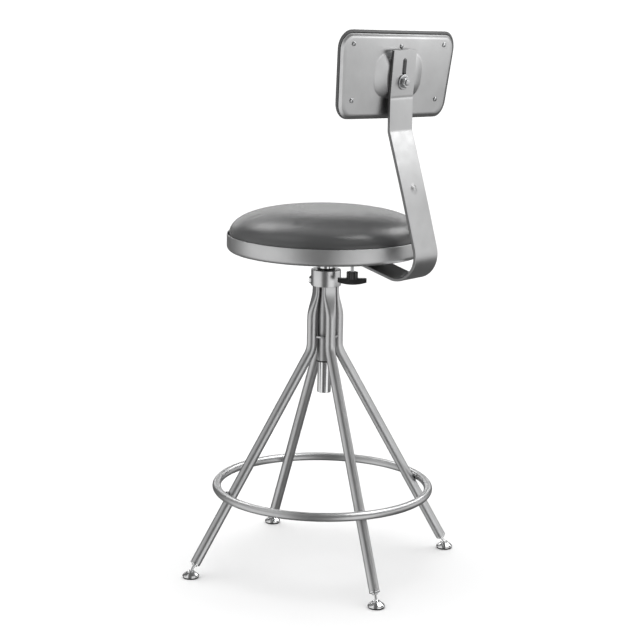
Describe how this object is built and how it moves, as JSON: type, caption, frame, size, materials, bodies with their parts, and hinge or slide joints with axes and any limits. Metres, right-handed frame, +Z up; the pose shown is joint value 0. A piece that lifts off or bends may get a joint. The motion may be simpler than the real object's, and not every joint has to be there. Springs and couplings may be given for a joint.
{
  "type": "swivel stool",
  "caption": "Height-adjustable swivel stool with a splayed tube base, foot ring, round upholstered seat and a padded backrest on a bent flat bar.",
  "frame": {"origin": "on the floor, on the swivel axis, which is the centre of the base", "axes": "+Z up along the swivel axis and the post; the seat faces -Y and the backrest is at +Y; +X is to the left of someone sitting on it"},
  "size_m": [0.498, 0.498, 1.0167],
  "materials": {
    "steel_frame": "satin grey, lightly brushed",
    "steel_seat_pan": "satin grey, lightly brushed",
    "steel_back": "satin grey",
    "bright_metal": "bright plated",
    "zinc_fasteners": "zinc plated",
    "hidden_steel": "black oxide",
    "black_plastic": "satin black",
    "glide_soles": "matt black",
    "seat_vinyl": "dark grey, fine grain, soft sheen",
    "back_vinyl": "dark grey, fine grain, soft sheen",
    "plywood": "raw plywood"
  },
  "bodies": {
    "base": {"leg_1": "steel_frame", "leg_2": "steel_frame", "leg_3": "steel_frame", "leg_4": "steel_frame", "foot_ring": "steel_frame", "collar": "bright_metal", "guide_sleeve": "steel_frame", "upper_bush": "black_plastic", "lower_bush": "black_plastic", "spacer_plate": "steel_frame", "leg_plug_1": "bright_metal", "leg_plug_2": "bright_metal", "leg_plug_3": "bright_metal", "leg_plug_4": "bright_metal", "glide_stem_1": "bright_metal", "glide_stem_2": "bright_metal", "glide_stem_3": "bright_metal", "glide_stem_4": "bright_metal"},
    "glide_1": {"glide_pad_1": "bright_metal", "glide_sole_1": "glide_soles"},
    "glide_2": {"glide_pad_2": "bright_metal", "glide_sole_2": "glide_soles"},
    "glide_3": {"glide_pad_3": "bright_metal", "glide_sole_3": "glide_soles"},
    "glide_4": {"glide_pad_4": "bright_metal", "glide_sole_4": "glide_soles"},
    "lock": {"lock_screw": "bright_metal"},
    "post": {"post": "bright_metal", "bearing_disc": "hidden_steel", "thrust_washer": "black_plastic", "swivel_pin": "zinc_fasteners"},
    "seat": {"swivel_plate": "hidden_steel", "seat_pan": "steel_seat_pan", "seat_board": "plywood", "seat_cushion": "seat_vinyl", "seat_screw_1": "zinc_fasteners", "seat_screw_2": "zinc_fasteners", "seat_screw_3": "zinc_fasteners", "seat_screw_4": "zinc_fasteners", "bar_guide": "hidden_steel", "guide_screw_1": "zinc_fasteners", "guide_screw_2": "zinc_fasteners", "clamp_nut": "zinc_fasteners"},
    "clamp_knob": {"wing_knob": "black_plastic", "clamp_screw": "zinc_fasteners"},
    "bar": {"back_bar": "steel_back"},
    "back_pad": {"back_panel": "steel_back", "back_board": "plywood", "back_cushion": "back_vinyl", "back_stud": "zinc_fasteners", "back_washer": "zinc_fasteners", "back_nut": "zinc_fasteners", "back_screw_upper_left": "zinc_fasteners", "back_screw_upper_right": "zinc_fasteners", "back_screw_lower_left": "zinc_fasteners", "back_screw_lower_right": "zinc_fasteners", "back_screw_top": "zinc_fasteners"}
  },
  "joints": [
    {"name": "post_lift", "type": "slide", "parent": "base", "child": "post", "axis": [0, 0, 1], "range_m": [0, 0.125]},
    {"name": "seat_swivel", "type": "hinge", "parent": "post", "child": "seat", "pos_m": [0, 0, 0.596], "axis": [0, 0, 1], "continuous": true},
    {"name": "lock_screw_turn", "type": "hinge", "parent": "base", "child": "lock", "pos_m": [0.00889, -0.02655, 0.5455], "axis": [0.3173, -0.9483, 0], "range_deg": [0, 360]},
    {"name": "clamp_knob_turn", "type": "hinge", "parent": "seat", "child": "clamp_knob", "pos_m": [0, 0.0634, 0.5713], "axis": [0, 0, 1], "range_deg": [0, 360]},
    {"name": "back_depth_slide", "type": "slide", "parent": "seat", "child": "bar", "axis": [0, 1, 0], "range_m": [0, 0.02]},
    {"name": "back_height_slide", "type": "slide", "parent": "bar", "child": "back_pad", "axis": [0, 0.0785, 0.9969], "range_m": [0, 0.034]},
    {"name": "glide_tilt_1", "type": "hinge", "parent": "base", "child": "glide_1", "pos_m": [0.11646, 0.23358, 0.011], "axis": [-0.8949, 0.4462, 0], "range_deg": [-8, 8]},
    {"name": "glide_tilt_2", "type": "hinge", "parent": "base", "child": "glide_2", "pos_m": [-0.23358, 0.11646, 0.011], "axis": [-0.4462, -0.8949, 0], "range_deg": [-8, 8]},
    {"name": "glide_tilt_3", "type": "hinge", "parent": "base", "child": "glide_3", "pos_m": [-0.11646, -0.23358, 0.011], "axis": [0.8949, -0.4462, 0], "range_deg": [-8, 8]},
    {"name": "glide_tilt_4", "type": "hinge", "parent": "base", "child": "glide_4", "pos_m": [0.23358, -0.11646, 0.011], "axis": [0.4462, 0.8949, 0], "range_deg": [-8, 8]}
  ]
}
